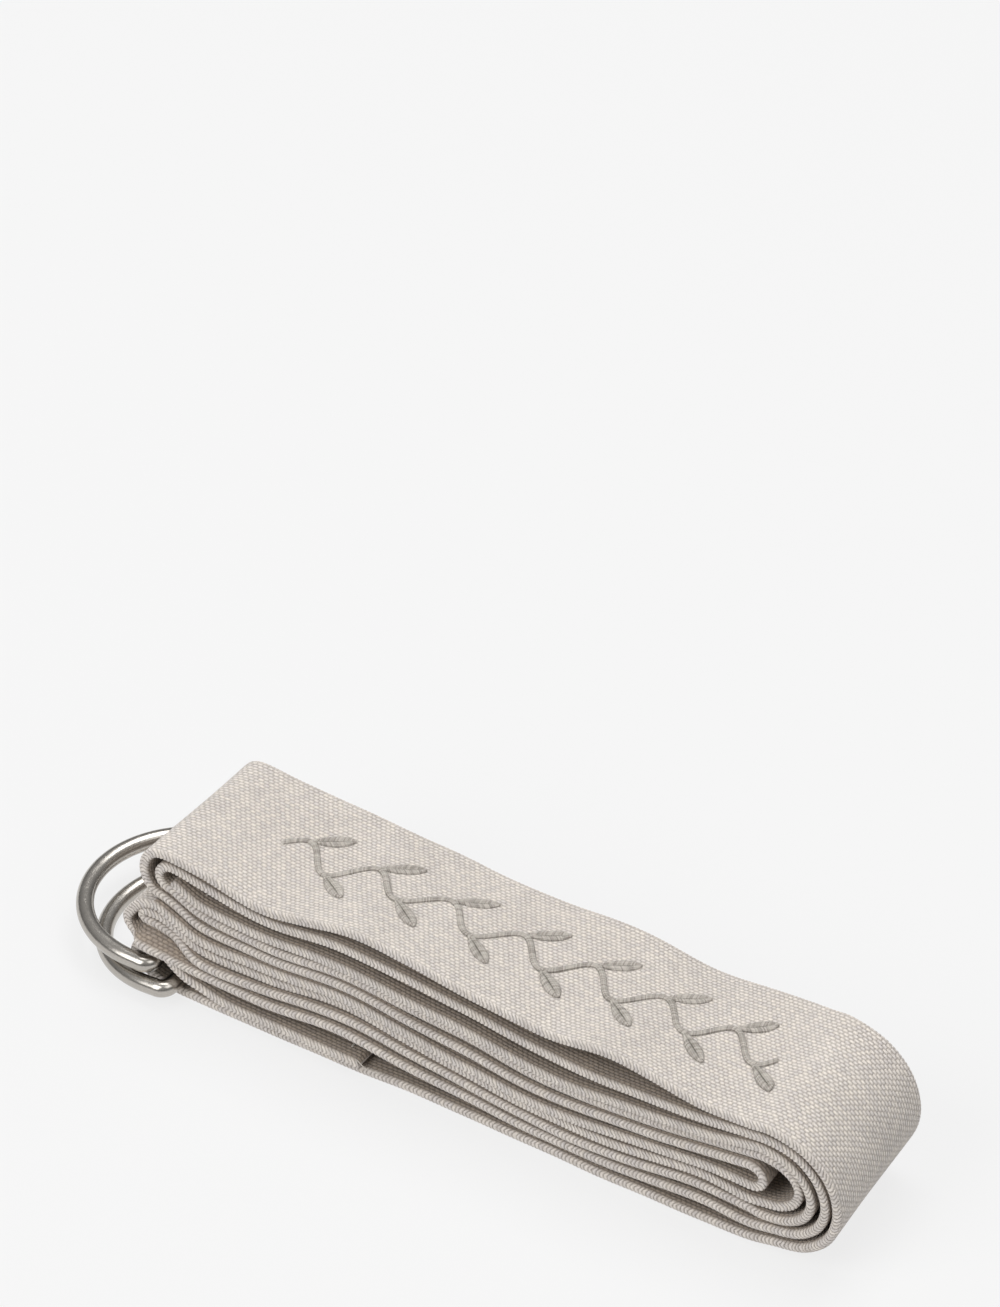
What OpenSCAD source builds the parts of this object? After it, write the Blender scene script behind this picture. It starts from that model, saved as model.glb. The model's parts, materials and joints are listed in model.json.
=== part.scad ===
// Folded stretching strap: one length of flat webbing folded into a bundle, with two D-rings
// held in a sewn loop at one end. X runs along the bundle with the rings at -X, Y across the
// webbing, and Z up from the surface that the bundle lies on.

/* [Webbing] */
// Width of the webbing
webbing_w = 37.8; // [37.0:0.1:37.9]
// Thickness of one layer of webbing
webbing_t = 2.0; // [1.6:0.1:2.0]
// How far the lower folds' back edges stand in, at their ring end
fold_shift = 1.3; // [1.2:0.1:1.6]

/* [Rings] */
// How far the webbing lies behind the middle of the rings
webbing_y = 1.6; // [1.2:0.1:1.7]
// Diameter of the ring wire
wire_d = 3.8; // [3.4:0.1:3.8]
// Clear width inside a D-ring, along its bar
ring_inner_w = 40.2; // [40.2:0.1:40.4]
// Bend radius at the two corners of a D-ring, to the middle of the wire
ring_corner_r = 3.0; // [2.6:0.1:3.2]
// Angle by which the lower ring slopes down to the surface
lower_ring_tilt = 5.1; // [4.8:0.1:5.1]

/* [Stitching] */
// Diameter of the sewing thread
thread_d = 0.5; // [0.4:0.1:0.6]
// Length of one seam stitch
stitch_l = 2.2; // [1.8:0.1:2.4]
// Distance from the start of one seam stitch to the start of the next
stitch_pitch = 3.0; // [2.8:0.1:3.4]

/* [Embroidery] */
// Height of the embroidered stem's waves
stem_wave = 3.0; // [2:0.5:4]
// Length of one embroidered leaf
leaf_l = 8; // [6:0.5:9]
// Widest part of one embroidered leaf
leaf_w = 3.4; // [2.6:0.2:4]
// Number of pairs of leaves
leaf_pairs = 7; // [4:1:8]

/* [Hidden] */

wire_r = wire_d / 2;
ring_r = ring_inner_w / 2 + wire_r;
upper_bar = [9.3, 8.05];
lower_bar = [13.76, 4.2];
ring_depth = ring_r + ring_corner_r;

// Middle of the whole strap along X, measured from the left end of the folds.
left_end = upper_bar[0] - ring_depth - wire_r;
right_end = 162.4 + 16.2 + webbing_t / 2;
middle_x = (left_end + right_end) / 2;

// Heights of the layers at these places along the bundle, from the top layer down.
stations = [20, 36, 57, 72, 87, 107, 124, 145, 157];
top_layer = [34.0, 31.2, 35.3, 35.0, 33.2, 32.1, 33.8, 31.3, 31.9];
layer_2 = [30.5, 28.4, 30.7, 29.9, 28.5, 26.3, 26.5, 27.6, 29.2];
layer_3 = [25.1, 24.0, 25.3, 24.2, 23.3, 20.8, 21.8, 24.1, 26.4];
layer_4 = [22.1, 21.2, 22.8, 21.6, 20.6, 18.3, 19.3, 21.7, 23.9];
layer_5 = [19.2, 18.6, 20.2, 18.9, 17.5, 15.4, 16.6, 19.2, 21.2];
layer_6 = [16.5, 16.0, 17.3, 15.6, 13.7, 12.1, 13.4, 15.7, 16.1];
layer_7 = [13.9, 13.5, 14.8, 13.1, 11.2, 9.6, 10.4, 12.7, 12.0];
layer_8 = [11.4, 11.0, 12.3, 10.4, 8.7, 6.9, 7.4, 9.9, 9.3];
layer_9 = [8.7, 8.4, 9.4, 7.3, 5.7, 4.0, 4.4, 6.4, 5.8];
bottom_layer = [1.05, 1.05, 1.05, 1.05, 1.05, 1.05, 1.05, 1.6, 2.1];
last_station = len(stations) - 1;

// One run of a layer, from station a to station b in either direction.
function run(heights, a, b) =
    [for (i = [a : (a < b ? 1 : -1) : b]) [stations[i], heights[i]]];

// Half of an ellipse from its top to its bottom, bulging to side 1 (right) or -1 (left).
function turn_down(centre, radii, side) =
    [for (a = [90 : -30 : -90]) centre + [side * radii[0] * cos(a), radii[1] * sin(a)]];
function turn_up(centre, radii, side) =
    [for (a = [-90 : 30 : 90]) centre + [side * radii[0] * cos(a), radii[1] * sin(a)]];

// The strap's whole way through the folds, from its free tail to the end of the ring loop.
// Legs 2, 4 and 6 are the lower folds and the loop at the ring end.
leg_1 = concat([[16.5, 25.9]], run(layer_3, 0, last_station),
               turn_down([160.1, 17.9], [12.5, 8.9], 1), run(layer_8, last_station, 1));
leg_2 = concat(run(layer_8, 0, 0), [[14, 14.2], [10.6, 15.9]],
               turn_up([8.6, 17.3], [1.25, 1.25], -1), [[10.6, 18.4], [14, 16.8]],
               run(layer_7, 0, 1));
leg_3 = concat(run(layer_7, 2, last_station), turn_up([160.1, 18.2], [9.8, 6.1], 1),
               run(layer_4, last_station, 0), turn_up([12.4, 28.4], [3.0, 2.8], -1),
               run(layer_2, 0, last_station), turn_down([162.2, 18.05], [13.4, 11.55], 1),
               run(layer_9, last_station, 1));
leg_4 = concat(run(layer_9, 0, 0), [[14, 11.6], [9.3, 13.7], [6.4, 13], [4.2, 11.9],
               [2.5, 12.5], [2.2, 14.4], [3.2, 16.9], [5.6, 19.8], [9.3, 21], [14, 19.3]],
               run(layer_6, 0, 1));
leg_5 = concat(run(layer_6, 2, last_station), turn_up([157.6, 18.65], [3.0, 2.6], 1),
               run(layer_5, last_station, 0), [[14, 21.9]],
               turn_up([10.5, 28.8], [4.7, 5.6], -1), run(top_layer, 0, last_station),
               turn_down([162.4, 17.9], [16.2, 14.8], 1), run(bottom_layer, last_station, 1));
leg_6 = concat(run(bottom_layer, 0, 0), [[14.5, 1.1], [11, 1.55], [7.9, 3.2], [6.2, 5.6], [6, 8.2],
               [7.1, 10.5], [9.4, 11.25], [14, 8.9], [20, 5.6], [26, 4.1], [36, 3.5],
               [50, 3.5], [62, 3.5]]);
way = concat(leg_1, leg_2, leg_3, leg_4, leg_5, leg_6);

last_way = len(way) - 1;

// Smooth curve through the way points (centripetal Catmull-Rom), with steps points a span.
steps = 3;
function blend(a, b, ta, tb, t) = ((tb - t) * a + (t - ta) * b) / (tb - ta);
function knot(a, b) = sqrt(norm(b - a));
function spline_point(p0, p1, p2, p3, share) =
    let (t1 = knot(p0, p1), t2 = t1 + knot(p1, p2), t3 = t2 + knot(p2, p3))
    let (t = t1 + (t2 - t1) * share)
    let (a1 = blend(p0, p1, 0, t1, t), a2 = blend(p1, p2, t1, t2, t))
    let (a3 = blend(p2, p3, t2, t3, t))
    let (b1 = blend(a1, a2, 0, t2, t), b2 = blend(a2, a3, t1, t3, t))
    blend(b1, b2, t1, t2, t);
function way_point(i) =
    i < 0 ? 2 * way[0] - way[1]
    : i > last_way ? 2 * way[last_way] - way[last_way - 1]
    : way[i];
smooth_way = concat(
    [for (i = [0 : last_way - 1], j = [0 : steps - 1])
        spline_point(way_point(i - 1), way[i], way[i + 1], way_point(i + 2), j / steps)],
    [way[last_way]]);

// The bottom layer lies flat on the surface, so no point is lower than that layer's middle.
path = [for (p = smooth_way) [p[0], max(p[1], bottom_layer[0])]];
last_point = len(path) - 1;

// Direction across the layer at one point of the path.
function across(i) =
    let (along = path[min(i + 1, last_point)] - path[max(i - 1, 0)])
    [-along[1], along[0]] / norm(along);
function side_points(a, b, offset) =
    [for (i = [a : (a < b ? 1 : -1) : b]) path[i] + offset * across(i)];

// Height of the top layer's upper surface, and of the loop's folded-back layer's.
before_top = len(leg_1) + len(leg_2) + len(leg_3) + len(leg_4)
             + len(run(layer_6, 2, last_station)) + 7 + len(layer_5) + 1 + 7;
top_surface = [for (i = [before_top * steps : (before_top + last_station) * steps])
    [path[i][0], path[i][1] + webbing_t / 2]];
fold_back_top = way[last_way][1] + webbing_t / 2;

// Extrudes an outline in the bundle's X and Z across the webbing, from y_back towards -Y.
module across_webbing(y_back, width) {
    translate([-middle_x, y_back, 0])
        rotate([90, 0, 0])
            linear_extrude(height = width)
                children();
}

// One ribbon along the whole path. The lower folds lie a little forward at their ring end,
// so their back edges stand in from the others' and leave room for the rings.
module webbing() {
    lower_folds = [[-5, -5], [-5, 22.1], [9.3, 22.1], [14, 20.6], [20, 17.85], [34, 17.3],
                   [34, -5]];
    color([0.79, 0.76, 0.73])
        difference() {
            across_webbing(webbing_y + webbing_w / 2, webbing_w)
                polygon(concat(side_points(0, last_point, webbing_t / 2),
                               side_points(last_point, 0, -webbing_t / 2)));
            across_webbing(webbing_w, webbing_w / 2 + fold_shift - webbing_y)
                polygon(lower_folds);
        }
}

// D-ring lying flat, with the middle of its bar at the origin and its bow towards -X.
module d_ring() {
    color([0.72, 0.71, 0.69]) {
        rotate([90, 0, 0])
            cylinder(h = 2 * (ring_r - ring_corner_r), r = wire_r, center = true, $fn = 48);
        translate([-ring_corner_r, 0, 0])
            rotate([0, 0, 90])
                rotate_extrude(angle = 180, $fn = 96)
                    translate([ring_r, 0])
                        circle(r = wire_r, $fn = 48);
        for (side = [-1, 1])
            translate([-ring_corner_r, side * (ring_r - ring_corner_r), 0])
                rotate([0, 0, side == 1 ? 0 : -90])
                    rotate_extrude(angle = 90, $fn = 96)
                        translate([ring_corner_r, 0])
                            circle(r = wire_r, $fn = 48);
    }
}

module d_ring_upper() {
    translate([upper_bar[0] - middle_x, 0, upper_bar[1]])
        d_ring();
}

module d_ring_lower() {
    translate([lower_bar[0] - middle_x, 0, lower_bar[1]])
        rotate([0, -lower_ring_tilt, 0])
            d_ring();
}

// A row of seam stitches across the webbing: each lies on the upper surface at height z_top
// and goes down through the layers at its two ends, for a depth.
module stitch_row(x, z_top, depth) {
    count = floor((webbing_w - stitch_pitch) / stitch_pitch);
    for (i = [0 : count - 1])
        translate([x - middle_x, webbing_y + (i - (count - 1) / 2) * stitch_pitch, z_top]) {
            rotate([90, 0, 0])
                cylinder(h = stitch_l, d = thread_d, center = true, $fn = 16);
            for (end = [-1, 1])
                translate([0, end * (stitch_l - thread_d) / 2, -depth])
                    cylinder(h = depth, d = thread_d * 0.8, $fn = 16);
        }
}

// Two rows hold the loop closed: through the folded-back layer and the bottom layer.
module ring_seam_stitching() {
    depth = fold_back_top - thread_d;
    color([0.74, 0.71, 0.67]) {
        stitch_row(40, fold_back_top, depth);
        stitch_row(58, fold_back_top, depth);
    }
}

// One row near the tail's end, through that layer alone.
module tail_hem_stitching() {
    tail_top = layer_3[0] + webbing_t / 2;
    color([0.74, 0.71, 0.67])
        stitch_row(stations[0], tail_top, webbing_t * 0.8);
}

// A leaf's outline, with its root at the origin and its tip at [leaf_l, 0].
module leaf() {
    bulge = [for (a = [0 : 20 : 180]) [leaf_l * (1 - cos(a)) / 2, leaf_w / 2 * sin(a)]];
    linear_extrude(height = thread_d, center = true)
        polygon(concat(bulge, [for (i = [len(bulge) - 2 : -1 : 1]) [bulge[i][0], -bulge[i][1]]]));
}

// A waving stem of short stitches with leaves on both sides, on the top layer.
module embroidered_sprig() {
    first_x = 24;
    last_x = 156;
    wave_l = (last_x - first_x) / leaf_pairs;
    stem_stitch = 2.6;
    stem_pitch = 3.3;
    leaf_angle = 42;
    color([0.70, 0.67, 0.63]) {
        for (x = [first_x : stem_pitch : last_x])
            translate([x - middle_x, webbing_y + stem_wave * sin(360 * (x - first_x) / wave_l),
                       lookup(x, top_surface)])
                rotate([0, 90, 0])
                    cylinder(h = stem_stitch, d = thread_d * 2, center = true, $fn = 16);
        for (i = [0 : leaf_pairs - 1], side = [-1, 1]) {
            x = first_x + wave_l * (i + (side == 1 ? 0.25 : 0.75));
            translate([x - middle_x, webbing_y + side * (stem_wave + thread_d),
                       lookup(x, top_surface)])
                rotate([0, 0, side * leaf_angle])
                    leaf();
        }
    }
}

webbing();
d_ring_upper();
d_ring_lower();
ring_seam_stitching();
tail_hem_stitching();
embroidered_sprig();
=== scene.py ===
import json
import math
import bpy
import numpy as np
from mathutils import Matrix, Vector


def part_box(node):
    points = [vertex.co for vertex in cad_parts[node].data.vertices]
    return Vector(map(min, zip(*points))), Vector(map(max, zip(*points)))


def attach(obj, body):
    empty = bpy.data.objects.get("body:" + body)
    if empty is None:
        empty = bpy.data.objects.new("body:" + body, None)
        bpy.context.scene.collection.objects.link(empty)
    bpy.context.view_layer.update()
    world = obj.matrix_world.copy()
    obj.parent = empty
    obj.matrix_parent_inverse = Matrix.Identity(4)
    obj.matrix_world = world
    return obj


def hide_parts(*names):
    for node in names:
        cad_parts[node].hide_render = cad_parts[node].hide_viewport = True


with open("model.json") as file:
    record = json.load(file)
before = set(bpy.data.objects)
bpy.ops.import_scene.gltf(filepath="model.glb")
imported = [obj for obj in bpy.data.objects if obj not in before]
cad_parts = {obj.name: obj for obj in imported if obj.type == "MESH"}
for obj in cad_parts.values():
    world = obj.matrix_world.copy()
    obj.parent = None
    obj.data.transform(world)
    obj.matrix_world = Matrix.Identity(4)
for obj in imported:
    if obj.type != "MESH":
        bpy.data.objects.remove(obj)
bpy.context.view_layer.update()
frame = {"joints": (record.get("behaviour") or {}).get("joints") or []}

MM = 0.001
scene = bpy.context.scene
scene.view_settings.view_transform = "Standard"


# ---- Camera -----------------------------------------------------------------------------------

CAMERA_AZIMUTH = 34.54
CAMERA_ELEVATION = 38.64
CAMERA_DISTANCE = 3.0
CAMERA_LENS = 388
# The point that the camera looks at: behind the strap, which lies low in the picture.
CAMERA_AIM = Vector((-0.0623, 0.0948, 0.018))


def direction(azimuth, elevation):
    """Unit vector towards a place seen from the origin; azimuth 0 is -Y and 90 is +X."""
    a, e = math.radians(azimuth), math.radians(elevation)
    return Vector((math.sin(a) * math.cos(e), -math.cos(a) * math.cos(e), math.sin(e)))


def make_camera():
    data = bpy.data.cameras.new("camera")
    data.lens = CAMERA_LENS
    data.sensor_width = 36
    data.clip_start = 0.05
    data.clip_end = 20
    camera = bpy.data.objects.new("camera", data)
    scene.collection.objects.link(camera)
    back = direction(CAMERA_AZIMUTH, CAMERA_ELEVATION)
    camera.location = CAMERA_AIM + back * CAMERA_DISTANCE
    camera.rotation_euler = back.to_track_quat("Z", "Y").to_euler()
    scene.camera = camera


make_camera()


# ---- The way of the strap through its folds, in millimetres -----------------------------------

# Places along the bundle, from the left end of the folds.
STATIONS = [20, 36, 57, 72, 87, 107, 124, 145, 157]
# Height of the middle of each layer at those places, from the top layer down.
HEIGHTS = [
    [34.0, 31.2, 35.3, 35.0, 33.2, 32.1, 33.8, 31.3, 31.9],
    [30.5, 28.4, 30.7, 29.9, 28.5, 26.3, 26.5, 27.6, 29.2],
    [25.1, 24.0, 25.3, 24.2, 23.3, 20.8, 21.8, 24.1, 26.4],
    [22.1, 21.2, 22.8, 21.6, 20.6, 18.3, 19.3, 21.7, 23.9],
    [19.2, 18.6, 20.2, 18.9, 17.5, 15.4, 16.6, 19.2, 21.2],
    [16.5, 16.0, 17.3, 15.6, 13.7, 12.1, 13.4, 15.7, 16.1],
    [13.9, 13.5, 14.8, 13.1, 11.2, 9.6, 10.4, 12.7, 12.0],
    [11.4, 11.0, 12.3, 10.4, 8.7, 6.9, 7.4, 9.9, 9.3],
    [9.0, 8.2, 9.4, 7.3, 5.7, 4.0, 4.4, 6.4, 5.8],
    [1.15, 1.15, 1.15, 1.15, 1.15, 1.15, 1.15, 1.6, 2.1],
]
# How much higher a layer's back edge is than its front edge there. Other layers are level.
RISES = {
    0: [-1.4, 1.0, -3.8, -4.1, -1.9, 0.5, -3.1, 1.3, 1.7],
    1: [-0.9, 0.3, -2.0, -1.6, -0.4, 0.6, -1.0, 0.6, 0.8],
    2: [0.3, 0.2, 0.2, 0.3, 0.2, 0.4, 0.3, 0.2, 0.4],
}
LEVEL = [0] * len(STATIONS)
# Sideways shift of each layer there: a minus moves it towards the front.
SHIFTS = [
    [0, 0, 0, 0, 0, 0, 0, 0, 0],
    [0.1, 0.2, 0, -0.1, 0, 0.1, 0, 0.1, 0.1],
    [-0.2, -0.1, 0, -0.2, -0.3, -0.2, -0.2, -0.1, 0],
    [0.5, 0.4, 0.6, 0.7, 0.7, 0.9, 0.8, 0.9, 0.6],
    [0, 0.1, 0.1, 0, 0, 0.1, 0.1, 0.1, 0],
    [-0.9, -0.6, -0.4, -0.3, -0.4, -0.3, -0.3, -0.3, -0.2],
    [-1.0, -0.3, 0.6, 0.4, 0.4, 0.3, 0.1, 0.3, 0.2],
    [-2.0, -1.2, -0.6, -0.4, 0, 0, 0.1, 0, 0.1],
    [-2.8, -2.1, -1.5, -0.9, -0.3, 0, 0.1, -0.2, 0],
    [-1.5, -1.3, -0.9, -0.4, -0.1, 0, 0, 0, 0],
]
TOP, BOTTOM = 0, 9
LAST = len(STATIONS) - 1
# Sideways shift of the fold above the rings, and of the loop that holds them.
FOLD_SHIFT = -1.3
LOOP_SHIFT = -1.9
# The outermost right-hand turn: the middle of its curve, and its radius along the bundle.
OUTER_TURN_X = 162.4
OUTER_TURN_R = 16.2
# Height of the layer that is folded back from the loop and sewn to the bottom layer.
FOLDED_BACK_Z = 3.6


def run(layer, first, last):
    """One layer's way points, from one station to another in either direction. A way point
    is its place along, its shift, its height, its back edge's rise and its front's droop."""
    step = 1 if first < last else -1
    rise = RISES.get(layer, LEVEL)
    return [
        (STATIONS[i], SHIFTS[layer][i], HEIGHTS[layer][i], rise[i], 0)
        for i in range(first, last + step, step)
    ]


def turn(x, z, radius_x, radius_z, side, shift=0.0, up=False, rise=(0, 0)):
    """Half an ellipse between two layers, from its top down or from its bottom up. The two
    rises are those of its top and its bottom."""
    angles = [math.radians(a) for a in range(90, -91, -30)]
    points = [
        (
            x + side * radius_x * math.cos(a),
            shift,
            z + radius_z * math.sin(a),
            rise[0] + (rise[1] - rise[0]) * (1 - math.sin(a)) / 2,
            0,
        )
        for a in angles
    ]
    return points[::-1] if up else points


def at_shift(shift, points):
    return [(x, shift, z, 0, 0) for x, z in points]


def forward(points):
    """Points that each have their own shift, and a droop of the front edge."""
    return [(x, shift, z, 0, droop) for x, shift, z, droop in points]


def ring_loop():
    """Round the rings' bars from the bottom layer, and back to the right on top of it."""
    way = at_shift(LOOP_SHIFT + 0.3, [(14.5, 1.2), (11, 1.65), (7.2, 3.0)])
    way += at_shift(LOOP_SHIFT - 0.9, [(5.4, 5.6), (5.2, 8.2), (6.3, 10.4), (9.2, 11.3),
                                       (11.8, 10.6)])
    way += at_shift(LOOP_SHIFT - 1.4, [(14.5, 9.1), (18, 6.9)])
    way += at_shift(LOOP_SHIFT - 0.7, [(22, 5.2), (27, 4.2)])
    return way + at_shift(LOOP_SHIFT - 0.4, [(x, FOLDED_BACK_Z) for x in (36, 50, 62)])


def strap_way():
    """Every way point from the tail's end to the end of the ring loop, and where the top
    layer's points start."""
    way = at_shift(0, [(12.8, 28.0), (16.3, 26.3)]) + run(2, 0, LAST)
    way += turn(160.1, 17.9, 12.1, 8.9, 1) + run(7, LAST, 0)
    way += at_shift(-1.0, [(14, 14.4), (10.6, 15.4)])
    way += turn(6.9, 16.95, 1.15, 1.15, -1, -1.0, up=True)
    way += at_shift(-1.0, [(10.6, 18.0), (14, 16.8)]) + run(6, 0, LAST)
    way += turn(160.1, 18.2, 8.7, 6.1, 1, 0.5, up=True) + run(3, LAST, 0)
    way += turn(12.4, 28.4, 3.0, 2.8, -1, 0.3, up=True, rise=(-1.2, 0)) + run(1, 0, LAST)
    way += turn(162.2, 18.05, 13.4, 11.55, 1, rise=(0.8, 0)) + run(8, LAST, 0)
    # This fold leans forward over the rings' front corners.
    way += forward([(14, -4.4, 12.0, 0.9), (10, -5.0, 13.4, 1.5), (7.2, -4.8, 13.5, 1.3),
                    (5.2, -2.8, 12.9, 0.5)])
    way += at_shift(FOLD_SHIFT, [(2.7, 13.2), (2.2, 14.8), (3.2, 16.9), (5.6, 19.8), (9.3, 21),
                                 (14, 19.3)])
    way += run(5, 0, LAST)
    way += turn(157.6, 18.65, 3.0, 2.6, 1, -0.1, up=True) + run(4, LAST, 0)
    way += at_shift(0, [(14, 21.9)])
    way += turn(10.5, 28.8, 4.7, 5.6, -1, up=True, rise=(-1.3, 0))
    top_start = len(way)
    way += run(TOP, 0, LAST)
    way += turn(OUTER_TURN_X, 17.9, OUTER_TURN_R, 14.8, 1, rise=(1.5, 0))
    way += run(BOTTOM, LAST, 0)
    return way + ring_loop(), top_start


# At their right-hand turns the layers' back edges stand further left than their front edges.
SKEW = -4.9
SKEW_FROM, SKEW_TO = 100, 172


def skew_at(x):
    share = np.clip((x - SKEW_FROM) / (SKEW_TO - SKEW_FROM), 0, 1)
    return SKEW * share * share * (3 - 2 * share)


WEBBING_LOW, WEBBING_HIGH = (np.array(v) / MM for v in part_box("webbing"))
# The CAD webbing ends at its outermost turn, half its thickness outside the way.
CAD_HALF_T = 1.0
SHIFT_X = WEBBING_HIGH[0] - (OUTER_TURN_X + OUTER_TURN_R + CAD_HALF_T)
MIDDLE_Y = (WEBBING_LOW[1] + WEBBING_HIGH[1]) / 2


def spline(points, steps):
    """Centripetal Catmull-Rom curve through the points, with steps pieces in each span."""
    p = np.vstack([2 * points[0] - points[1], points, 2 * points[-1] - points[-2]])
    gap = np.sqrt(np.linalg.norm(np.diff(p, axis=0), axis=1))
    p0, p1, p2, p3 = (p[i : len(p) - 3 + i] for i in range(4))
    t1 = gap[:-2, None]
    t2 = t1 + gap[1:-1, None]
    t3 = t2 + gap[2:, None]
    curve = []
    for share in np.arange(steps) / steps:
        t = t1 + (t2 - t1) * share
        a1 = ((t1 - t) * p0 + t * p1) / t1
        a2 = ((t2 - t) * p1 + (t - t1) * p2) / (t2 - t1)
        a3 = ((t3 - t) * p2 + (t - t2) * p3) / (t3 - t2)
        b1 = ((t2 - t) * a1 + t * a2) / t2
        b2 = ((t3 - t) * a2 + (t - t1) * a3) / (t3 - t1)
        curve.append(((t2 - t) * b1 + (t - t1) * b2) / (t2 - t1))
    curve = np.stack(curve, axis=1).reshape(-1, points.shape[1])
    return np.vstack([curve, points[-1]])


def lengths(points):
    """Each point's distance from the start, measured along the line."""
    return np.concatenate([[0], np.cumsum(np.linalg.norm(np.diff(points, axis=0), axis=1))])


def resample(points, step):
    """The same line with points evenly spaced, and each one's distance from the start."""
    along = lengths(points)
    at = np.arange(0, along[-1], step)
    return np.stack([np.interp(at, along, c) for c in points.T], axis=1), at


# ---- Mesh helpers -----------------------------------------------------------------------------


def make_piece(name, points, faces, body, material, values):
    """A smooth mesh object that rides on a body, with named numbers on its points."""
    mesh = bpy.data.meshes.new(name)
    mesh.from_pydata(np.asarray(points).tolist(), [], faces)
    for key, numbers in values.items():
        layer = mesh.attributes.new(key, "FLOAT", "POINT")
        layer.data.foreach_set("value", np.asarray(numbers, np.float32))
    mesh.polygons.foreach_set("use_smooth", [True] * len(mesh.polygons))
    mesh.materials.append(material)
    mesh.update()
    piece = bpy.data.objects.new(name, mesh)
    scene.collection.objects.link(piece)
    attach(piece, body)
    return piece


def grid_faces(rows, columns, close_rows=False, first=0):
    """Quads of a tube: every row is a closed ring of columns points."""
    i = np.arange(rows if close_rows else rows - 1)[:, None]
    j = np.arange(columns)[None, :]
    a = first + i * columns + j
    b = first + i * columns + (j + 1) % columns
    c = first + (i + 1) % rows * columns + (j + 1) % columns
    d = first + (i + 1) % rows * columns + j
    return np.stack([a, d, c, b], axis=-1).reshape(-1, 4).tolist()


def tube_faces(rows, columns, first=0):
    """Quads of an open tube, with a cap on each end."""
    start = list(range(first, first + columns))
    end = [(rows - 1) * columns + i for i in start[::-1]]
    return grid_faces(rows, columns, first=first) + [start, end]


class Threads:
    """Many short round threads gathered into one mesh."""

    SIDES = 6

    def __init__(self):
        self.points = []
        self.faces = []
        self.along = []
        self.shade = []
        self.count = 0

    def add(self, line, radius, shade=0.5, flat=1.0):
        """A thread along a line, thinner towards its two ends; flat under 1 flattens it."""
        line = np.asarray(line, float)
        n = len(line)
        along = np.gradient(line, axis=0)
        along /= np.linalg.norm(along, axis=1)[:, None]
        side = np.cross(along, [0, 0, 1])
        side /= np.linalg.norm(side, axis=1)[:, None] + 1e-12
        up = np.cross(side, along)
        taper = np.sqrt(np.clip(1 - np.linspace(-1, 1, n) ** 6, 0.04, 1))[:, None, None] * radius
        angle = np.linspace(0, 2 * math.pi, self.SIDES, endpoint=False)[None, :, None]
        ring = np.cos(angle) * side[:, None] + flat * np.sin(angle) * up[:, None]
        self.points.append((line[:, None] + taper * ring).reshape(-1, 3))
        self.faces += tube_faces(n, self.SIDES, first=self.count)
        self.along.append(np.repeat(lengths(line), self.SIDES))
        self.shade.append(np.full(n * self.SIDES, shade))
        self.count += n * self.SIDES

    def piece(self, name, body, material, slot):
        values = {"along": np.concatenate(self.along), "shade": np.concatenate(self.shade)}
        points = np.concatenate(self.points) * MM
        return make_piece(name, points, self.faces, body, material, values)


# ---- Materials --------------------------------------------------------------------------------


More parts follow.
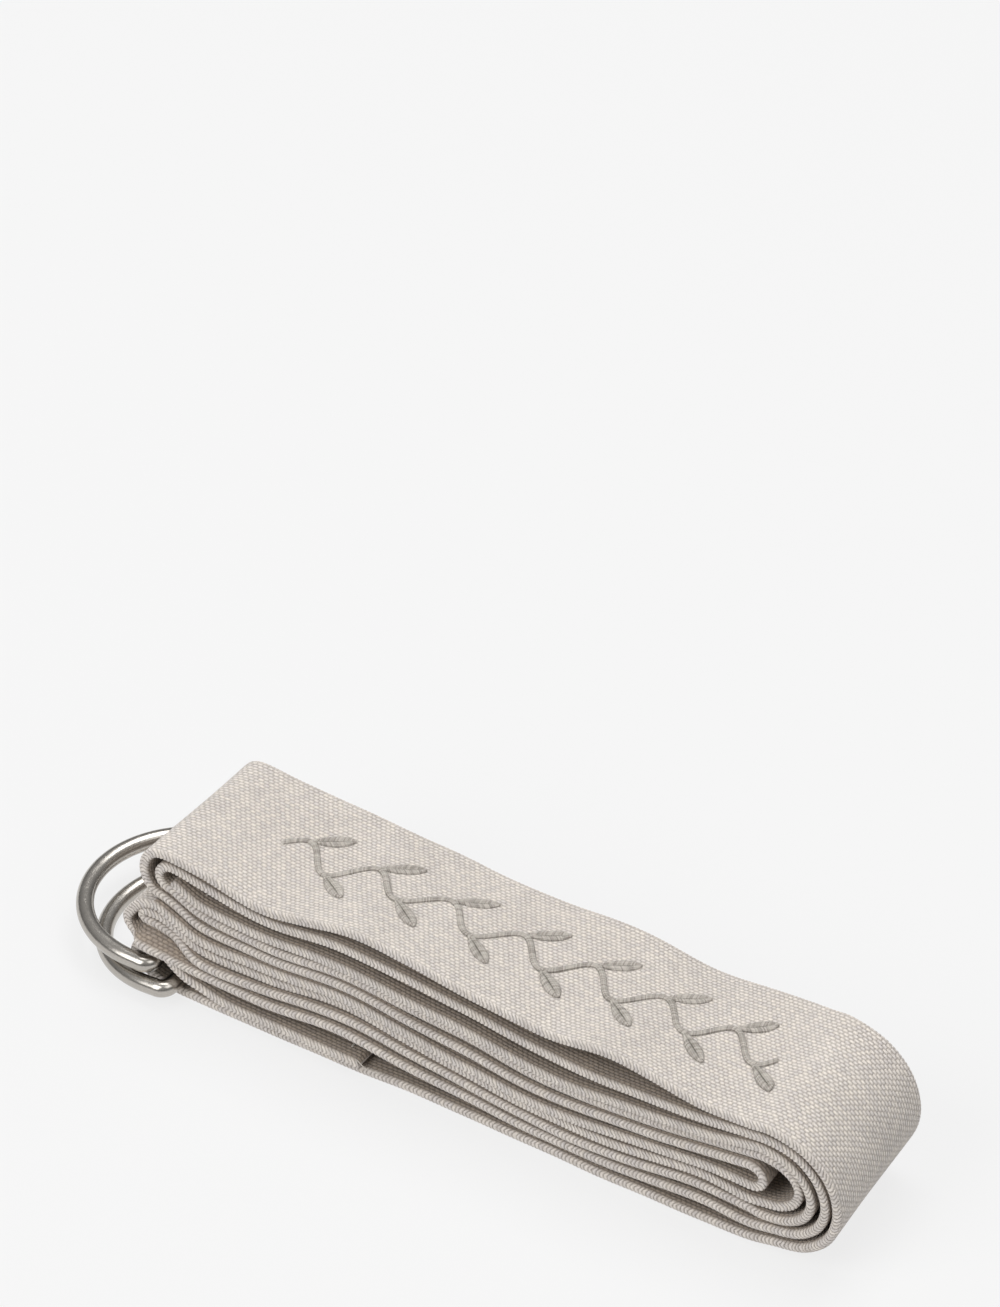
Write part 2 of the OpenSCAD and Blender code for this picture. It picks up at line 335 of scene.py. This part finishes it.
class Nodes:
    """Short names for building a node material."""

    def __init__(self, name):
        self.material = bpy.data.materials.new(name)
        self.material.use_nodes = True
        self.tree = self.material.node_tree
        self.shader = self.tree.nodes["Principled BSDF"]

    def add(self, kind, **settings):
        node = self.tree.nodes.new(kind)
        for key, value in settings.items():
            setattr(node, key, value)
        return node

    def plug(self, value, socket):
        if isinstance(value, bpy.types.NodeSocket):
            self.tree.links.new(value, socket)
        else:
            socket.default_value = value

    def surface(self, name, value):
        """Sets one of the shader's own inputs."""
        self.plug(value, self.shader.inputs[name])

    def value(self, name):
        """A number that the mesh carries on its points."""
        return self.add("ShaderNodeAttribute", attribute_name=name).outputs["Fac"]

    def math(self, operation, a, b=0.0):
        node = self.add("ShaderNodeMath", operation=operation)
        self.plug(a, node.inputs[0])
        self.plug(b, node.inputs[1])
        return node.outputs[0]

    def plus(self, a, b):
        return self.math("ADD", a, b)

    def times(self, a, b):
        return self.math("MULTIPLY", a, b)

    def spread(self, value, size):
        """A number from 0 to 1 made into one round 0, size from end to end."""
        return self.times(self.math("SUBTRACT", value, 0.5), size)

    def scale_range(self, value, low, high, new_low, new_high):
        node = self.add("ShaderNodeMapRange")
        for i, v in enumerate((value, low, high, new_low, new_high)):
            self.plug(v, node.inputs[i])
        return node.outputs[0]

    def hump(self, turns, power):
        """A rounded hump for each whole turn."""
        wave = self.math("SINE", self.times(turns, math.pi))
        return self.math("POWER", self.math("ABSOLUTE", wave), power)

    def pair(self, x, y):
        node = self.add("ShaderNodeCombineXYZ")
        self.plug(x, node.inputs[0])
        self.plug(y, node.inputs[1])
        return node.outputs[0]

    def noise(self, scale, detail=2.0, roughness=0.5, vector=None):
        node = self.add("ShaderNodeTexNoise")
        if vector is None:
            vector = self.add("ShaderNodeTexCoord").outputs["Object"]
        self.plug(vector, node.inputs["Vector"])
        node.inputs["Scale"].default_value = scale
        node.inputs["Detail"].default_value = detail
        node.inputs["Roughness"].default_value = roughness
        return node.outputs["Fac"]

    def wander(self, scale, size):
        """A small irregular shift, size from one side to the other."""
        return self.spread(self.noise(scale), size)

    def speckle(self, x, y):
        """A random number from 0 to 1 for each pair of whole numbers."""
        node = self.add("ShaderNodeTexWhiteNoise", noise_dimensions="3D")
        self.plug(self.pair(x, y), node.inputs["Vector"])
        return node.outputs["Value"]

    def mix(self, share, a, b):
        node = self.add("ShaderNodeMix", data_type="FLOAT")
        for socket, value in zip((node.inputs[0], node.inputs[2], node.inputs[3]), (share, a, b)):
            self.plug(value, socket)
        return node.outputs[0]

    def colour(self, share, a, b, blend="MIX"):
        node = self.add("ShaderNodeMix", data_type="RGBA", blend_type=blend)
        self.plug(share, node.inputs[0])
        for socket, value in ((node.inputs[6], a), (node.inputs[7], b)):
            self.plug(value if isinstance(value, bpy.types.NodeSocket) else (*value, 1), socket)
        return node.outputs[2]

    def bump(self, height, distance, strength, normal=None):
        """A normal from a height; the distance is in millimetres."""
        node = self.add("ShaderNodeBump")
        self.plug(height, node.inputs["Height"])
        node.inputs["Distance"].default_value = distance * MM
        node.inputs["Strength"].default_value = strength
        if normal is not None:
            self.plug(normal, node.inputs["Normal"])
        return node.outputs["Normal"]


# One yarn's width across the webbing, and the length of one float where it shows.
YARN_PITCH = 0.86
FLOAT_PITCH = 1.28
# The cord along each edge: the spacing of its turns, and how far they lean and curve.
RIB_PITCH = 0.95
RIB_LEAN = 0.2
RIB_CURVE = 0.9
# The yarn's colour ramp: its darker end is painted shade for the hollows between floats and turns.
YARN_HOLLOW_SHADE = (0.32, 0.28, 0.24)
YARN_LIGHT = (0.755, 0.71, 0.67)
# Each grain of the weave is a little cooler or warmer than its neighbours.
GRAIN_COOL = (0.965, 0.96, 0.975)
GRAIN_WARM = (1.03, 1.01, 0.975)
# The faces inside the folds are painted darker and warmer, for the little light there.
INSIDE_TINT = (0.56, 0.505, 0.45)
YARN_BUMP = 0.32
FIBRE_BUMP = 0.09


def weave(n, along):
    """The webbing's faces: the height of the staggered floats, and a random tint for each."""
    column = n.math("DIVIDE", n.plus(n.value("over"), n.wander(280, 0.22)), YARN_PITCH)
    yarn_number = n.math("FLOOR", column)
    stagger = n.times(n.math("MODULO", n.math("ABSOLUTE", yarn_number), 2), 0.5)
    row = n.plus(n.math("DIVIDE", along, FLOAT_PITCH), stagger)
    height = n.times(n.scale_range(n.hump(row, 0.5), 0, 1, 0.12, 1), n.hump(column, 0.5))
    return height, n.speckle(n.math("FLOOR", row), yarn_number)


def edge_cord(n, along):
    """The webbing's edges: the height of the leaning turns of yarn, and a tint for each."""
    through = n.value("through")
    lean = n.plus(n.times(through, RIB_LEAN), n.times(n.times(through, through), RIB_CURVE))
    turns = n.plus(n.math("DIVIDE", along, RIB_PITCH), n.plus(lean, n.wander(1100, 0.7)))
    uneven = n.scale_range(n.noise(900, 1), 0.3, 0.7, 0.7, 1.1)
    return n.times(n.hump(turns, 0.6), uneven), n.speckle(n.math("FLOOR", turns), 0.5)


def webbing_material():
    """Thick cotton webbing: woven faces, corded edges, and fine fibres over both."""
    n = Nodes("cotton_webbing")
    along = n.plus(n.value("along"), n.wander(420, 0.55))
    edge = n.value("edge")
    face_height, face_tint = weave(n, along)
    cord_height, cord_tint = edge_cord(n, along)
    height = n.mix(edge, face_height, cord_height)
    tint = n.mix(edge, face_tint, cord_tint)
    fibre = n.noise(2600, 4, 0.65)
    patch = n.noise(60, 3)
    light = n.plus(n.spread(fibre, 0.8), n.spread(patch, 0.25))
    light = n.plus(light, n.spread(tint, 0.16))
    # Painted shade: the deeper a point lies between the floats or the cord's turns, the darker its
    # yarn colour.
    share = n.plus(n.scale_range(height, 0, 1, 0.12, 0.9), light)
    yarn = n.colour(share, YARN_HOLLOW_SHADE, YARN_LIGHT)
    grain = n.colour(tint, GRAIN_COOL, GRAIN_WARM)
    cloth = n.colour(1.0, yarn, grain, "MULTIPLY")
    n.surface("Base Color", n.colour(n.value("inside"), cloth, INSIDE_TINT, "MULTIPLY"))
    n.surface("Roughness", n.scale_range(fibre, 0.3, 0.7, 0.82, 0.98))
    n.surface("Normal", n.bump(fibre, FIBRE_BUMP, 0.6, n.bump(height, YARN_BUMP, 0.85)))
    n.surface("Sheen Weight", 0.2)
    n.surface("Sheen Roughness", 0.6)
    n.surface("Specular IOR Level", 0.2)
    return n.material


# The spacing of the plies along a twisted thread.
PLY_PITCH = 0.45
PLY_BUMP = 0.05


def thread_material(name, dark, light, roughness, sheen):
    """Twisted thread, with painted shading on the plies of its twist, and a little different from
    stitch to stitch.
    """
    n = Nodes(name)
    ply = n.math("SINE", n.times(n.value("along"), 2 * math.pi / PLY_PITCH))
    fibre = n.noise(4200, 3, 0.6)
    # Painted shading of the twist: the colour is lighter on the crests of the plies, where the bump
    # also rises.
    grain = n.plus(n.times(ply, 0.12), n.times(fibre, 0.4))
    n.surface("Base Color", n.colour(n.plus(n.times(n.value("shade"), 0.6), grain), dark, light))
    n.surface("Roughness", n.scale_range(fibre, 0.2, 0.8, roughness - 0.08, roughness + 0.08))
    n.surface("Normal", n.bump(n.plus(ply, fibre), PLY_BUMP, 0.5))
    n.surface("Sheen Weight", sheen)
    n.surface("Specular IOR Level", 0.35)
    return n.material


NICKEL_DARK = (0.42, 0.395, 0.36)
NICKEL_LIGHT = (0.55, 0.52, 0.48)
BRUSH_BUMP = 0.03
PIT_BUMP = 0.02


def ring_material():
    """Satin nickel plate: brushed along the wire, with faint wear and small pits."""
    n = Nodes("satin_nickel")
    stretched = n.pair(n.times(n.value("along"), 0.35), n.times(n.value("around"), 9.0))
    brushed = n.noise(2.2, 5, 0.7, stretched)
    cloud = n.noise(240, 4, 0.6)
    pits = n.noise(1500)
    n.surface("Base Color", n.colour(cloud, NICKEL_DARK, NICKEL_LIGHT))
    streaks = n.scale_range(brushed, 0.3, 0.7, 0.17, 0.30)
    n.surface("Roughness", n.plus(streaks, n.spread(cloud, 0.12)))
    n.surface("Normal", n.bump(pits, PIT_BUMP, 0.25, n.bump(brushed, BRUSH_BUMP, 0.22)))
    n.surface("Metallic", 1.0)
    return n.material


# ---- Webbing ----------------------------------------------------------------------------------

HALF_W = 18.9
HALF_T = 1.12
# Each edge is rounded over this width, through points at these angles.
EDGE_R = 0.95
EDGE_ANGLES = [66, 44, 22, 0, -22, -44, -66]
FACE_COLUMNS = 12
# Mesh pieces between two way points, before the line is spaced out in even rows.
WAY_STEPS = 8
ROW_STEP = RIB_PITCH / 5
# How far the yarns round the edges stand out.
BEAD = 0.17
# The cut ends are rounded over this length.
END_ROUND = 1.3
# A drooping front edge bends over this width.
DROOP_WIDTH = 5.0
# The outer side is in the open from this far before the top layer to this far before the
# loop's end, and on every turn that is left of this place.
LEFT_TURN = 25
FOLDED_BACK = 50
OPEN_LEFT = 9


def webbing_profile():
    """Round one cross-section from the front edge of the upper face: place across, place
    through (-1 to 1), outward direction, and how far the point belongs to an edge."""
    across = np.linspace(-(HALF_W - EDGE_R), HALF_W - EDGE_R, FACE_COLUMNS + 1)
    flat = [(y, 1.0, 0.0, 1.0, 0.0) for y in across]
    back = []
    for a in EDGE_ANGLES:
        c, s = math.cos(math.radians(a)), math.sin(math.radians(a))
        y = HALF_W - EDGE_R + EDGE_R * c**0.75
        back.append((y, math.copysign(abs(s) ** 0.8, s), c, s, 1.0 if abs(a) < 60 else 0.75))
    under = [(y, -1.0, 0.0, -1.0, 0.0) for y in across[::-1]]
    front = [(-y, t, -c, s, e) for y, t, c, s, e in back[::-1]]
    return np.array(flat + back + under + front)


def webbing_sections(along, profile):
    """Every row's cross-section: its points' places through the webbing and across it."""
    y, through, out_y, out_n, edge = profile.T
    s = along[:, None]
    # Yarns stand out in leaning beads round the edges.
    twist = s / RIB_PITCH + (RIB_LEAN * through + RIB_CURVE * through**2)[None, :]
    bead = BEAD * edge * (np.abs(np.sin(math.pi * twist)) ** 0.7 - 0.45)
    to_end = np.minimum(s, along[-1] - s) / END_ROUND
    thin = np.sqrt(np.clip(1 - (1 - np.clip(to_end, 0, 1)) ** 2, 0.06, 1))
    # The faces are a little uneven and the edges wander, as in soft webbing.
    sag = 0.05 * np.sin(s / 7.3 + y / 9) + 0.05 * np.sin(s / 3.1 - y / 6)
    sway = 0.10 * np.sin(s / 13.0) + 0.07 * np.sin(s / 4.7 + 1.0)
    return (through * HALF_T + bead * out_n) * thin + sag, y + bead * out_y + sway


def make_webbing():
    way, top_start = strap_way()
    curve = spline(np.array(way, float), WAY_STEPS)
    line, along = resample(curve, ROW_STEP)
    rise, droop, skew = line[:, 3], line[:, 4], skew_at(line[:, 0])
    line = line[:, :3] + [SHIFT_X, MIDDLE_Y, 0]
    tangent = np.gradient(line[:, [0, 2]], axis=0)
    tangent /= np.linalg.norm(tangent, axis=1)[:, None]
    normal = np.stack([-tangent[:, 1], np.zeros(len(line)), tangent[:, 0]], axis=1)
    profile = webbing_profile()
    y, through, _, _, edge = profile.T
    in_n, in_y = webbing_sections(along, profile)
    points = line[:, None, :] + in_n[..., None] * normal[:, None, :]
    to_back = (y + HALF_W) / (2 * HALF_W)
    to_front = np.clip(1 - (y + HALF_W) / DROOP_WIDTH, 0, 1)
    points[..., 0] += skew[:, None] * to_back
    points[..., 1] += in_y
    points[..., 2] += rise[:, None] * to_back - droop[:, None] * to_front
    rows, columns = in_n.shape
    top_from = lengths(curve)[top_start * WAY_STEPS]
    top_to = lengths(curve)[(top_start + LAST) * WAY_STEPS]
    outer = (along >= top_from - LEFT_TURN) & (along <= along[-1] - FOLDED_BACK)
    outer |= line[:, 0] - SHIFT_X < OPEN_LEFT
    hidden = 1 - outer[:, None] * (through > 0)[None, :]
    values = {
        "along": np.repeat(along, columns),
        "over": np.tile(y, rows),
        "through": np.tile(through, rows),
        "edge": np.tile(edge, rows),
        "inside": (hidden * through**8).ravel(),
    }
    piece = make_piece("folded_webbing", points.reshape(-1, 3) * MM, tube_faces(rows, columns),
                       "strap", webbing_material(), values)
    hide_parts("webbing")
    # The top layer's own stretch of the line, for the embroidery to lie on.
    on_top = (along >= top_from) & (along <= top_to)
    return TopSurface(line[on_top], normal[on_top], rise[on_top], skew[on_top])


class TopSurface:
    """The upper surface of the top layer, by distance along it and place across."""

    def __init__(self, line, normal, rise, skew):
        self.along = lengths(line)
        self.columns = [*line.T, *normal.T, rise, skew]

    def point(self, along, across, height):
        here = [np.interp(along, self.along, c) for c in self.columns]
        rise, skew = here[6:]
        to_back = (across + HALF_W) / (2 * HALF_W)
        lean = np.array([skew * to_back, across, rise * to_back])
        return np.array(here[:3]) + np.array(here[3:6]) * (HALF_T + height) + lean


# ---- Embroidery -------------------------------------------------------------------------------

# The stem's distance from the two ends of the top layer.
SPRIG_START = 8.0
SPRIG_MARGIN = 3.0
# How far the stem waves to each side, and its strands: half their width, their spacing and
# how far each end is slanted along the stem.
STEM_WAVE = 3.6
STEM_HALF = 0.8
STEM_PITCH = 0.3
STEM_SLANT = 0.28
LEAF_PAIRS = 7
LEAF_LENGTH = 10.0
LEAF_WIDTH = 3.7
LEAF_ANGLE = 33
# A leaf's strands: their spacing, their slant as a share of their width, and how far they
# pass the leaf's rib.
LEAF_PITCH = 0.34
LEAF_SLANT = 0.55
LEAF_CROSS = 0.12
# One strand: its radius, how deep its ends lie in the webbing and how far it arches.
STRAND_R = 0.21
STRAND_SINK = 0.16
STRAND_LIFT = 0.6
SATIN_DARK = (0.20, 0.178, 0.155)
SATIN_LIGHT = (0.58, 0.54, 0.49)


def satin(threads, surface, start, end, random):
    """One satin strand between two places on the surface, arched a little over it."""
    line = [
        surface.point(*(np.array(start) * (1 - t) + np.array(end) * t),
                      -STRAND_SINK + STRAND_LIFT * math.sin(math.pi * t) ** 0.6)
        for t in np.linspace(0, 1, 6)
    ]
    threads.add(line, STRAND_R * (0.92 + 0.16 * random.random()), random.random(), 0.8)


def left_of(heading):
    return np.array([-heading[1], heading[0]])


def stem_place(share, length):
    along = SPRIG_START + share * length
    return np.array([along, STEM_WAVE * math.sin(2 * math.pi * LEAF_PAIRS * share)])


def sew_stem(threads, surface, length, random):
    places = np.array([stem_place(t, length) for t in np.linspace(0, 1, 400)])
    along = lengths(places)
    for d in np.arange(0, along[-1], STEM_PITCH):
        here = np.array([np.interp(d, along, c) for c in places.T])
        ahead = np.array([np.interp(d + 0.5, along, c) for c in places.T])
        heading = ahead - here
        heading /= np.linalg.norm(heading) + 1e-9
        slant = left_of(heading) * STEM_HALF + heading * STEM_SLANT
        satin(threads, surface, here - slant, here + slant, random)


def sew_leaf(threads, surface, root, side, random):
    """Fishbone stitch: strands from the leaf's rib to its two edges, slanted forward."""
    angle = side * math.radians(LEAF_ANGLE)
    heading = np.array([math.cos(angle), math.sin(angle)])
    cross = left_of(heading)
    for d in np.arange(0.5, LEAF_LENGTH, LEAF_PITCH):
        half = LEAF_WIDTH / 2 * math.sin(math.pi * d / LEAF_LENGTH) ** 0.8
        rib = root + heading * d
        for hand in (-1, 1):
            tip = rib + cross * hand * half + heading * half * LEAF_SLANT
            satin(threads, surface, rib - cross * hand * LEAF_CROSS, tip, random)


def make_sprig(surface):
    """A trailing stem in satin stitch with leaves on both sides."""
    random = np.random.default_rng(7)
    threads = Threads()
    length = surface.along[-1] - SPRIG_START - SPRIG_MARGIN
    sew_stem(threads, surface, length, random)
    for i in range(LEAF_PAIRS):
        for side in (-1, 1):
            root = stem_place((i + 0.5 - 0.25 * side) / LEAF_PAIRS, length)
            sew_leaf(threads, surface, root, side, random)
    material = thread_material("satin_thread", SATIN_DARK, SATIN_LIGHT, 0.38, 0.1)
    piece = threads.piece("leaf_sprig_embroidery", "strap", material, "embroidery_thread")
    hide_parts("embroidered_sprig")


# ---- Stitching --------------------------------------------------------------------------------

# Where the two rows that close the ring loop are.
SEAM_ROWS = (40, 58)
# One lockstitch: its spacing, half its length, its radius, how deep its ends lie in the
# webbing and how far it arches.
STITCH_PITCH = 3.0
STITCH_HALF = 1.15
STITCH_R = 0.25
STITCH_SINK = 0.25
STITCH_LIFT = 0.42
THREAD_DARK = (0.42, 0.38, 0.335)
THREAD_LIGHT = (0.66, 0.615, 0.565)


def stitch_row(threads, x, z_top, y_middle):
    """A row of lockstitches across the webbing, each arched over the surface."""
    count = int((2 * HALF_W - 2) / STITCH_PITCH)
    for i in range(count):
        y = y_middle + (i - (count - 1) / 2) * STITCH_PITCH
        line = [
            (x, y - STITCH_HALF * math.cos(a), z_top - STITCH_SINK + STITCH_LIFT * math.sin(a))
            for a in np.linspace(0, math.pi, 9)
        ]
        threads.add(line, STITCH_R, 0.3 + 0.4 * (i % 2))


def loose_end():
    """The seam's thread sticks out where the folded-back layer ends."""
    y = MIDDLE_Y + LOOP_SHIFT - HALF_W - 0.5
    points = [(60.5, 0.9, 4.3), (62, 0.2, 4.6), (63.6, -0.3, 4.2), (65.6, 0.1, 3.9),
              (67.4, 0.4, 4.1)]
    return spline(np.array([(x + SHIFT_X, y + out, z) for x, out, z in points]), 5)


def make_seams():
    material = thread_material("sewing_thread", THREAD_DARK, THREAD_LIGHT, 0.75, 0.2)
    seam = Threads()
    for x in SEAM_ROWS:
        stitch_row(seam, x + SHIFT_X, FOLDED_BACK_Z + HALF_T, MIDDLE_Y + LOOP_SHIFT)
    seam.add(loose_end(), 0.16, 0.1)
    piece = seam.piece("ring_loop_seam", "strap", material, "seam_thread")
    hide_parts("ring_seam_stitching")
    hem = Threads()
    stitch_row(hem, STATIONS[0] + SHIFT_X, HEIGHTS[2][0] + HALF_T, MIDDLE_Y)
    piece = hem.piece("tail_hem_seam", "strap", material, "seam_thread")
    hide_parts("tail_hem_stitching")


# ---- Rings ------------------------------------------------------------------------------------

WIRE_R = 1.9
RING_R = 22.0
CORNER_R = 2.0
RING_STEP = 0.4
WIRE_SIDES = 48
# The wire's two ends are welded in the middle of the bar, which leaves a low bead: how far
# it rises, as a share of the wire, and half its length.
WELD_RISE = 0.07
WELD_HALF = 0.8
# Degrees that the lower ring's bow hangs under its bar.
LOWER_TILT = 5.1
# The arms are straight for these lengths before the bow starts.
UPPER_ARM = 2.9
LOWER_ARM = 2.4
# How far each ring has slid in the soft loop.
UPPER_PLAY = (1.0, -0.4, 0.05)
LOWER_PLAY = (1.4, -1.2, 0)


def arc(x, y, radius, first, last):
    count = max(2, int(abs(math.radians(last - first)) * radius / RING_STEP))
    angles = np.radians(np.linspace(first, last, count, endpoint=False))
    return [(x + radius * math.cos(a), y + radius * math.sin(a)) for a in angles]


def ring_outline(arm):
    """The middle of the wire, once round the D: half the bar, an arm, the bow, an arm, and
    the bar again."""
    side = RING_R - CORNER_R
    half = [(0, y) for y in np.arange(0, side, RING_STEP)]
    straight = [(-CORNER_R - a, RING_R) for a in np.arange(0, arm, RING_STEP)]
    points = half + arc(-CORNER_R, side, CORNER_R, 0, 90) + straight
    points += arc(-CORNER_R - arm, 0, RING_R, 90, 270)
    points += [(x, -y) for x, y in straight[::-1]]
    points += arc(-CORNER_R, -side, CORNER_R, 270, 360)
    return np.array(points + [(0, y) for y in np.arange(-side, 0, RING_STEP)])


def ring_points(arm, tilt):
    """The wire's surface in rows round the ring, with the middle of the bar at the origin."""
    flat = ring_outline(arm)
    along = np.roll(flat, -1, axis=0) - np.roll(flat, 1, axis=0)
    along /= np.linalg.norm(along, axis=1)[:, None]
    out = np.stack([along[:, 1], -along[:, 0]], axis=1)
    angle = np.linspace(0, 2 * math.pi, WIRE_SIDES, endpoint=False)
    on_bar = flat[:, 0] > -1
    bead = 1 + WELD_RISE * np.exp(-((flat[:, 1] / WELD_HALF) ** 2)) * on_bar
    radius = WIRE_R * bead[:, None]
    x = flat[:, None, 0] + radius * np.cos(angle) * out[:, None, 0]
    y = flat[:, None, 1] + radius * np.cos(angle) * out[:, None, 1]
    z = radius * np.sin(angle)
    c, s = math.cos(math.radians(tilt)), math.sin(math.radians(tilt))
    return np.stack([x * c - z * s, y, x * s + z * c], axis=-1), angle


def make_ring(name, node, body, tilt, arm, play, material):
    """A ring on its joint's axis, which is the middle of its bar."""
    pivot = next(np.array(j["pos_m"]) for j in frame["joints"] if j["child"] == body)
    points, angle = ring_points(arm, tilt)
    rows = len(points)
    values = {
        "along": np.repeat(np.arange(rows) * RING_STEP, WIRE_SIDES),
        "around": np.tile(np.sin(angle) * 2, rows),
    }
    faces = grid_faces(rows, WIRE_SIDES, close_rows=True)
    points = ((points + play) * MM + pivot).reshape(-1, 3)
    piece = make_piece(name, points, faces, body, material, values)
    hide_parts(node)


def make_rings():
    metal = ring_material()
    make_ring("upper_d_ring", "d_ring_upper", "upper_ring", 0, UPPER_ARM, UPPER_PLAY, metal)
    make_ring("lower_d_ring", "d_ring_lower", "lower_ring", LOWER_TILT, LOWER_ARM, LOWER_PLAY,
              metal)


# ---- Stage ------------------------------------------------------------------------------------

# Half the floor's width, and how far it is under the strap, in metres.
FLOOR_HALF = 6.0
FLOOR_GAP = 0.05 * MM
FLOOR_DARK = (0.115, 0.115, 0.115)
FLOOR_LIGHT = (0.125, 0.125, 0.125)
# The floor glows a little, as a lit table does, so that shadows on it stay pale.
FLOOR_GLOW = 0.768
# The studio is darkest at the horizon and fully bright from this height up.
STUDIO_LOW = (0.26, 0.26, 0.26, 1)
STUDIO_HIGH = (1.0, 1.0, 1.0, 1)
STUDIO_HIGH_FROM = 0.75
STUDIO_STRENGTH = 0.46
# Each light's name, azimuth, elevation, distance, width and power.
LIGHTS = [
    ("key_light", 190, 72, 1.6, 1.1, 15.7),
    ("front_light", -20, 40, 1.8, 1.2, 17),
    ("side_light", 75, 50, 1.8, 0.9, 4.2),
]


def make_floor():
    mesh = bpy.data.meshes.new("floor")
    corners = [(x * FLOOR_HALF, y * FLOOR_HALF, 0) for x, y in ((-1, -1), (1, -1), (1, 1), (-1, 1))]
    mesh.from_pydata(corners, [], [(0, 1, 2, 3)])
    n = Nodes("pale_floor")
    n.surface("Base Color", n.colour(n.noise(3), FLOOR_DARK, FLOOR_LIGHT))
    n.surface("Emission Color", (1, 1, 1, 1))
    n.surface("Emission Strength", FLOOR_GLOW)
    n.surface("Roughness", 0.9)
    n.surface("Specular IOR Level", 0.0)
    mesh.materials.append(n.material)
    floor = bpy.data.objects.new("floor", mesh)
    floor.location.z = -FLOOR_GAP
    scene.collection.objects.link(floor)


def make_studio():
    world = bpy.data.worlds.new("studio")
    scene.world = world
    world.use_nodes = True
    tree = world.node_tree
    background = tree.nodes["Background"]
    place = tree.nodes.new("ShaderNodeTexCoord")
    split = tree.nodes.new("ShaderNodeSeparateXYZ")
    ramp = tree.nodes.new("ShaderNodeValToRGB")
    low_stop, high_stop = ramp.color_ramp.elements
    low_stop.position = 0.0
    low_stop.color = STUDIO_LOW
    high_stop.position = STUDIO_HIGH_FROM
    high_stop.color = STUDIO_HIGH
    tree.links.new(place.outputs["Generated"], split.inputs[0])
    tree.links.new(split.outputs["Z"], ramp.inputs[0])
    tree.links.new(ramp.outputs[0], background.inputs["Color"])
    background.inputs["Strength"].default_value = STUDIO_STRENGTH


def make_light(name, azimuth, elevation, distance, size, power):
    data = bpy.data.lights.new(name, "AREA")
    data.energy = power
    data.size = size
    light = bpy.data.objects.new(name, data)
    away = direction(azimuth, elevation)
    light.location = away * distance
    light.rotation_euler = away.to_track_quat("Z", "Y").to_euler()
    scene.collection.objects.link(light)


make_sprig(make_webbing())
make_seams()
make_rings()
make_floor()
make_studio()
for light_settings in LIGHTS:
    make_light(*light_settings)
